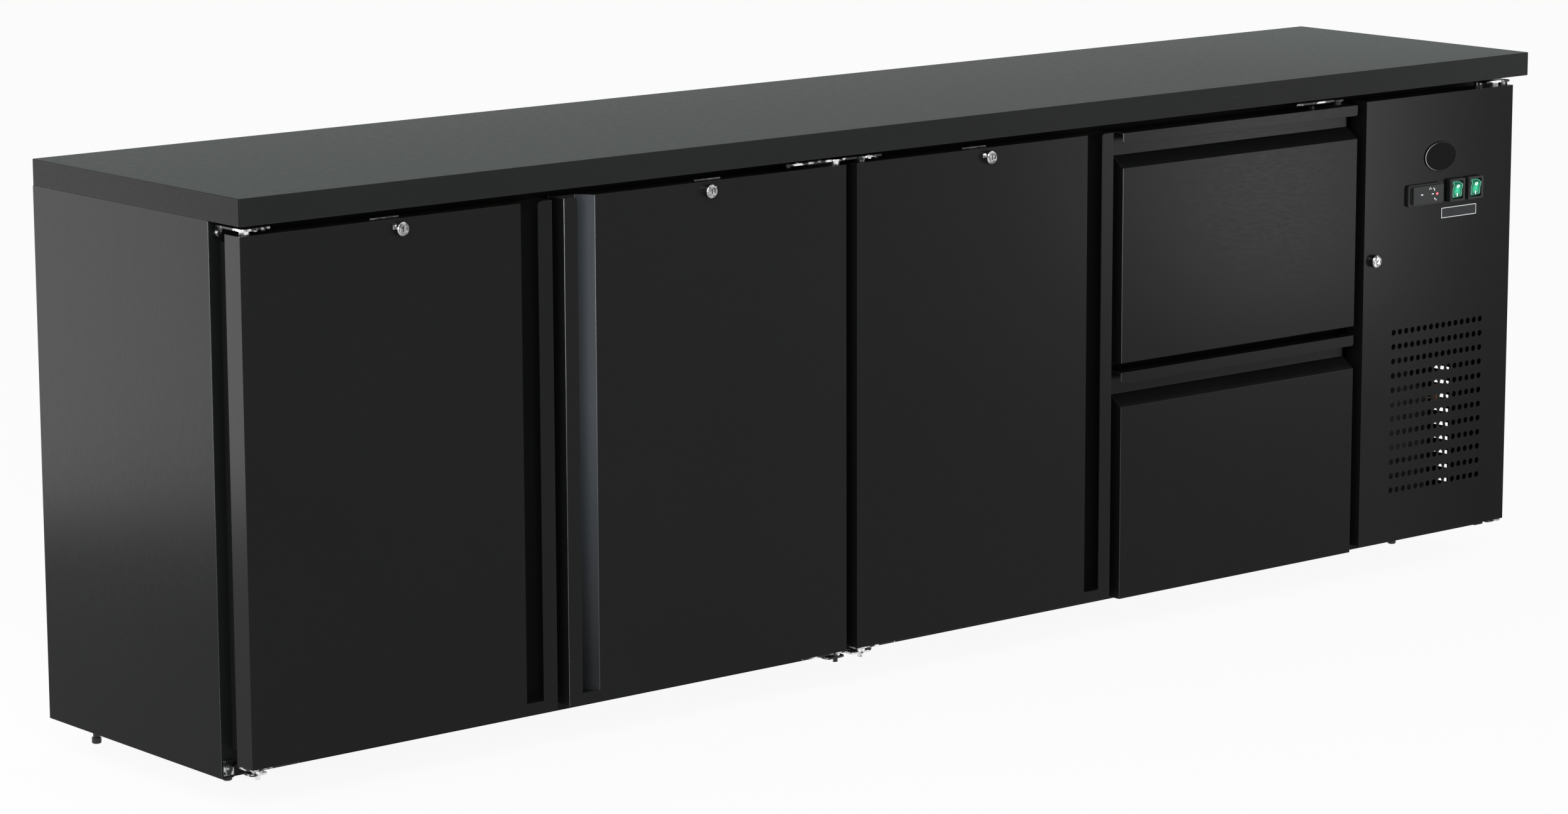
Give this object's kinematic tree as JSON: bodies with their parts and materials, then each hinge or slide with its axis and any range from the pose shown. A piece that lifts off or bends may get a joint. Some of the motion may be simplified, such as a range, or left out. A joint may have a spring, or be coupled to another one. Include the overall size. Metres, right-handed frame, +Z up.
{
  "type": "back bar cooler",
  "caption": "Long undercounter cooler with hinged doors, drawers with grip channels and a perforated machine cover below one flat worktop.",
  "frame": {"origin": "on the floor under the middle of the whole object", "axes": "+X along the front to the right, +Y from the front to the back, +Z up"},
  "size_m": [2.542, 0.525, 0.85],
  "materials": {
    "dark_sheet": "satin black coating over brushed steel sheet",
    "galvanised": "dull galvanised sheet",
    "liner_steel": "brushed stainless sheet",
    "plated_steel": "zinc-plated steel",
    "chrome_lock": "polished chrome",
    "frame_plastic": "black profile with fine texture",
    "door_core": "dark inner pan over foam",
    "foam": "rigid insulating foam",
    "gasket_rubber": "soft matte seal",
    "foot_plastic": "black moulded nylon",
    "coated_wire": "smooth coated wire",
    "lamp_diffuser": "milky diffuser",
    "white_plastic": "white moulded cover",
    "fin_aluminium": "bare fins",
    "fan_plastic": "black moulded blades",
    "black_enamel": "semi-gloss black enamel",
    "copper": "drawn copper tube, slightly dull",
    "badge_plate": "dark plate with a bright bevel",
    "control_plastic": "dark grey moulding",
    "rocker_lens": "green translucent lens, lit from inside"
  },
  "bodies": {
    "cabinet": {"worktop": "dark_sheet", "side_panels": "dark_sheet", "rear_panel": "galvanised", "base_pan": "dark_sheet", "insulation": "foam", "inner_liner": "liner_steel", "front_frame": "frame_plastic", "hinge_brackets": "plated_steel", "bracket_screws": "plated_steel", "feet": "foot_plastic", "shelf_rails": "liner_steel", "wire_shelves": "coated_wire", "interior_lamp": "lamp_diffuser", "drawer_outer_slides": "galvanised", "evaporator_housing": "white_plastic", "evaporator_coil": "fin_aluminium", "compressor": "black_enamel", "condenser_coil": "fin_aluminium", "condenser_fan_motor": "galvanised", "refrigerant_pipes": "copper", "cable_gland": "foot_plastic"},
    "door_1": {"door_1_shell": "dark_sheet", "door_1_liner": "door_core", "door_1_gasket": "gasket_rubber", "door_1_hinge_plates": "plated_steel", "door_1_lock_body": "chrome_lock"},
    "door_1_lock": {"door_1_lock_plug": "chrome_lock"},
    "door_2": {"door_2_shell": "dark_sheet", "door_2_liner": "door_core", "door_2_gasket": "gasket_rubber", "door_2_hinge_plates": "plated_steel", "door_2_lock_body": "chrome_lock"},
    "door_2_lock": {"door_2_lock_plug": "chrome_lock"},
    "door_3": {"door_3_shell": "dark_sheet", "door_3_liner": "door_core", "door_3_gasket": "gasket_rubber", "door_3_hinge_plates": "plated_steel", "door_3_lock_body": "chrome_lock"},
    "door_3_lock": {"door_3_lock_plug": "chrome_lock"},
    "drawer_upper": {"drawer_upper_shell": "dark_sheet", "drawer_upper_liner": "door_core", "drawer_upper_gasket": "gasket_rubber", "drawer_upper_box": "liner_steel", "drawer_upper_inner_slides": "galvanised"},
    "drawer_upper_mid_slide": {"drawer_upper_mid_slides": "galvanised"},
    "drawer_lower": {"drawer_lower_shell": "dark_sheet", "drawer_lower_liner": "door_core", "drawer_lower_gasket": "gasket_rubber", "drawer_lower_box": "liner_steel", "drawer_lower_inner_slides": "galvanised"},
    "drawer_lower_mid_slide": {"drawer_lower_mid_slides": "galvanised"},
    "cover": {"cover_panel": "dark_sheet", "badge": "badge_plate", "temperature_controller": "control_plastic", "switch_housings": "control_plastic"},
    "cover_lock": {"cover_lock": "chrome_lock"},
    "rocker_1": {"rocker_1": "rocker_lens"},
    "rocker_2": {"rocker_2": "rocker_lens"},
    "condenser_fan": {"condenser_fan": "fan_plastic"},
    "evaporator_fan": {"evaporator_fan": "fan_plastic"}
  },
  "joints": [
    {"name": "door_1_hinge", "type": "hinge", "parent": "cabinet", "child": "door_1", "pos_m": [-1.254, -0.2425, 0.433], "axis": [0, 0, -1], "range_deg": [0, 90]},
    {"name": "door_1_lock_turn", "type": "hinge", "parent": "door_1", "child": "door_1_lock", "pos_m": [-1.0085, -0.2525, 0.784], "axis": [0, 1, 0], "range_deg": [0, 90]},
    {"name": "door_2_hinge", "type": "hinge", "parent": "cabinet", "child": "door_2", "pos_m": [-0.223, -0.2425, 0.433], "axis": [0, 0, 1], "range_deg": [0, 90]},
    {"name": "door_2_lock_turn", "type": "hinge", "parent": "door_2", "child": "door_2_lock", "pos_m": [-0.4685, -0.2525, 0.784], "axis": [0, -1, 0], "range_deg": [0, 90]},
    {"name": "door_3_hinge", "type": "hinge", "parent": "cabinet", "child": "door_3", "pos_m": [-0.174, -0.2425, 0.433], "axis": [0, 0, -1], "range_deg": [0, 90]},
    {"name": "door_3_lock_turn", "type": "hinge", "parent": "door_3", "child": "door_3_lock", "pos_m": [0.0715, -0.2525, 0.784], "axis": [0, 1, 0], "range_deg": [0, 90]},
    {"name": "drawer_upper_slide", "type": "slide", "parent": "cabinet", "child": "drawer_upper", "axis": [0, -1, 0], "range_m": [0, 0.33]},
    {"name": "drawer_upper_mid_slide_run", "type": "slide", "parent": "cabinet", "child": "drawer_upper_mid_slide", "axis": [0, -1, 0], "range_m": [0, 0.165]},
    {"name": "drawer_lower_slide", "type": "slide", "parent": "cabinet", "child": "drawer_lower", "axis": [0, -1, 0], "range_m": [0, 0.33]},
    {"name": "drawer_lower_mid_slide_run", "type": "slide", "parent": "cabinet", "child": "drawer_lower_mid_slide", "axis": [0, -1, 0], "range_m": [0, 0.165]},
    {"name": "cover_hinge", "type": "hinge", "parent": "cabinet", "child": "cover", "pos_m": [1.226, -0.2425, 0.433], "axis": [0, 0, 1], "range_deg": [0, 95]},
    {"name": "cover_lock_turn", "type": "hinge", "parent": "cover", "child": "cover_lock", "pos_m": [0.914, -0.2525, 0.538], "axis": [0, 1, 0], "range_deg": [0, 90]},
    {"name": "rocker_1_tilt", "type": "hinge", "parent": "cover", "child": "rocker_1", "pos_m": [1.1025, -0.25, 0.637], "axis": [-1, 0, 0], "range_deg": [0, 14]},
    {"name": "rocker_2_tilt", "type": "hinge", "parent": "cover", "child": "rocker_2", "pos_m": [1.1465, -0.25, 0.637], "axis": [-1, 0, 0], "range_deg": [0, 14]},
    {"name": "condenser_fan_spin", "type": "hinge", "parent": "cabinet", "child": "condenser_fan", "pos_m": [1.066, -0.07, 0.1624], "axis": [0, 1, 0], "continuous": true},
    {"name": "evaporator_fan_spin", "type": "hinge", "parent": "cabinet", "child": "evaporator_fan", "pos_m": [0.6115, 0.156, 0.624], "axis": [0, 1, 0], "continuous": true}
  ],
  "couplings": [
    {"joint": "drawer_upper_mid_slide_run", "follows": "drawer_upper_slide", "ratio": 0.5},
    {"joint": "drawer_lower_mid_slide_run", "follows": "drawer_lower_slide", "ratio": 0.5}
  ]
}
